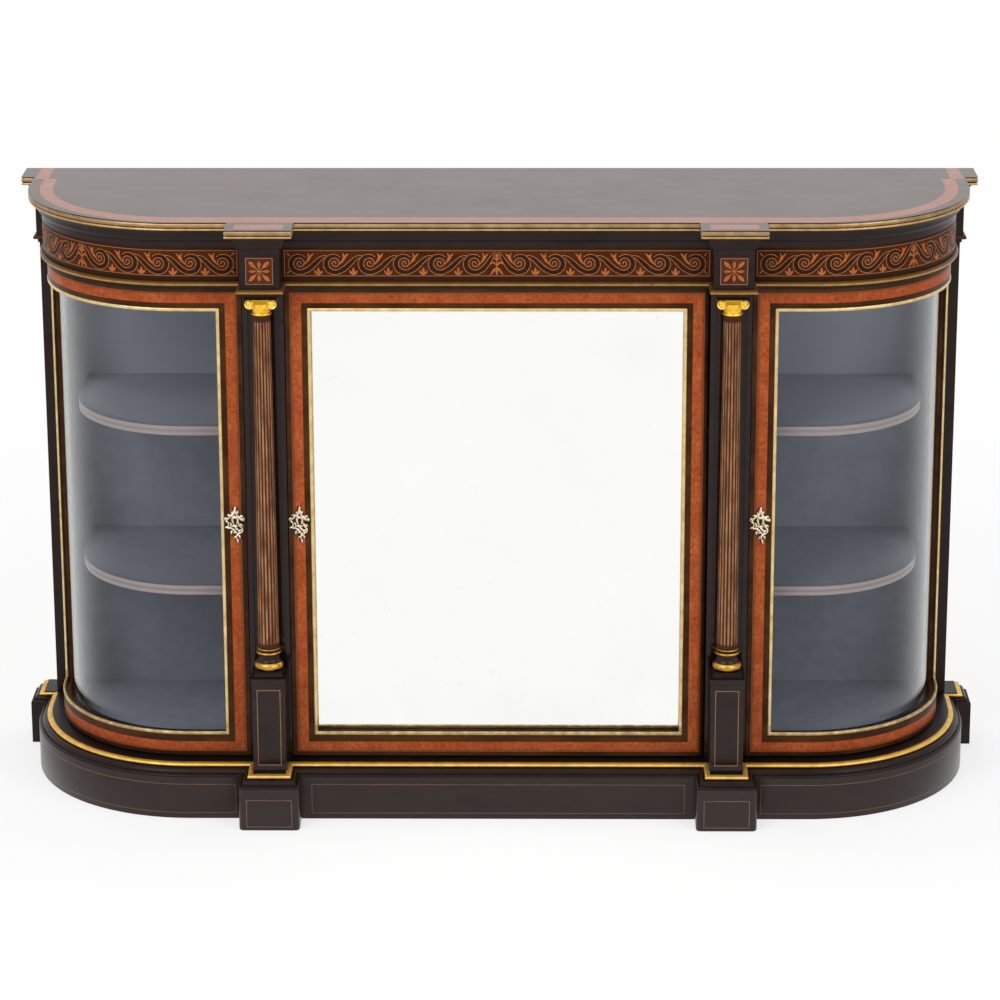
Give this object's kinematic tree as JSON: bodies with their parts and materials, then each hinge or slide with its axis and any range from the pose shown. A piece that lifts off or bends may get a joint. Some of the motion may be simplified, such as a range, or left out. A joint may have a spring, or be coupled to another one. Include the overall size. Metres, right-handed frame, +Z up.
{
  "type": "credenza",
  "caption": "D-ended ebonised credenza with a mirrored centre door, bowed glazed side doors, inner shelves, fluted columns and a moulded plinth, for storing and showing china.",
  "frame": {"origin": "centre of the overall footprint, on the floor", "axes": "+X along the front to the right as seen from the front, +Y to the back, +Z up"},
  "size_m": [1.7, 0.483, 1.05],
  "materials": {
    "ebonised": "black stain under a polished French finish",
    "burr_veneer": "polished figured burr veneer between black edges",
    "marquetry": "polished red-brown veneer inlaid with a pale running scroll",
    "gilding": "worn gilding",
    "brass_fittings": "pale polished brass",
    "lock_steel": "dull steel",
    "lining": "matt slate-grey cloth on board",
    "carcase_wood": "bare sawn softwood",
    "bent_glass": "clear bent glass",
    "mirror_glass": "silvered plate glass"
  },
  "bodies": {
    "cabinet": {"back_panels": "lining", "base_board": "ebonised", "capitals": "gilding", "carcase_top": "ebonised", "centre_shelves": "lining", "column_bases": "ebonised", "column_shafts": "ebonised", "cornice_moulding": "ebonised", "door_stops": "carcase_wood", "frieze_bead": "gilding", "frieze_blocks": "marquetry", "frieze_ends": "marquetry", "frieze_front_rail": "marquetry", "left_pilaster": "ebonised", "left_shelves": "lining", "partitions": "lining", "pedestals": "ebonised", "pivot_plates": "brass_fittings", "plinth_back_rail": "carcase_wood", "plinth_bead": "gilding", "plinth_blocks": "ebonised", "plinth_ends": "ebonised", "plinth_front_rail": "ebonised", "plinth_moulding": "ebonised", "rear_frieze_blocks": "ebonised", "rear_plinth_blocks": "ebonised", "rear_stiles": "ebonised", "right_pilaster": "ebonised", "right_shelves": "lining", "shelf_bearers": "carcase_wood", "top_board": "ebonised", "top_rim": "gilding"},
    "left_door": {"left_door_escutcheon": "brass_fittings", "left_door_glass": "bent_glass", "left_door_hinge_stile": "burr_veneer", "left_door_lock_case": "lock_steel", "left_door_lock_stile": "burr_veneer", "left_door_pivots": "brass_fittings", "left_door_rails": "burr_veneer", "left_door_slip": "gilding"},
    "left_lock_bolt": {"left_door_lock_bolt": "lock_steel"},
    "centre_door": {"centre_door_escutcheon": "brass_fittings", "centre_door_hinge_stile": "burr_veneer", "centre_door_lock_case": "lock_steel", "centre_door_lock_stile": "burr_veneer", "centre_door_pivots": "brass_fittings", "centre_door_rails": "burr_veneer", "centre_door_slip": "gilding", "mirror_back": "carcase_wood", "mirror_plate": "mirror_glass"},
    "centre_lock_bolt": {"centre_door_lock_bolt": "lock_steel"},
    "right_door": {"right_door_escutcheon": "brass_fittings", "right_door_glass": "bent_glass", "right_door_hinge_stile": "burr_veneer", "right_door_lock_case": "lock_steel", "right_door_lock_stile": "burr_veneer", "right_door_pivots": "brass_fittings", "right_door_rails": "burr_veneer", "right_door_slip": "gilding"},
    "right_lock_bolt": {"right_door_lock_bolt": "lock_steel"}
  },
  "joints": [
    {"name": "left_door_hinge", "type": "hinge", "parent": "cabinet", "child": "left_door", "pos_m": [-0.766, 0.1555, 0.515], "axis": [0, 0, -1], "range_deg": [0, 90]},
    {"name": "centre_door_hinge", "type": "hinge", "parent": "cabinet", "child": "centre_door", "pos_m": [0.341, -0.1275, 0.515], "axis": [0, 0, 1], "range_deg": [0, 92]},
    {"name": "right_door_hinge", "type": "hinge", "parent": "cabinet", "child": "right_door", "pos_m": [0.766, 0.1555, 0.515], "axis": [0, 0, 1], "range_deg": [0, 90]},
    {"name": "left_lock_slide", "type": "slide", "parent": "left_door", "child": "left_lock_bolt", "axis": [1, 0, 0], "range_m": [0, 0.008]},
    {"name": "centre_lock_slide", "type": "slide", "parent": "centre_door", "child": "centre_lock_bolt", "axis": [-1, 0, 0], "range_m": [0, 0.008]},
    {"name": "right_lock_slide", "type": "slide", "parent": "right_door", "child": "right_lock_bolt", "axis": [-1, 0, 0], "range_m": [0, 0.008]}
  ]
}
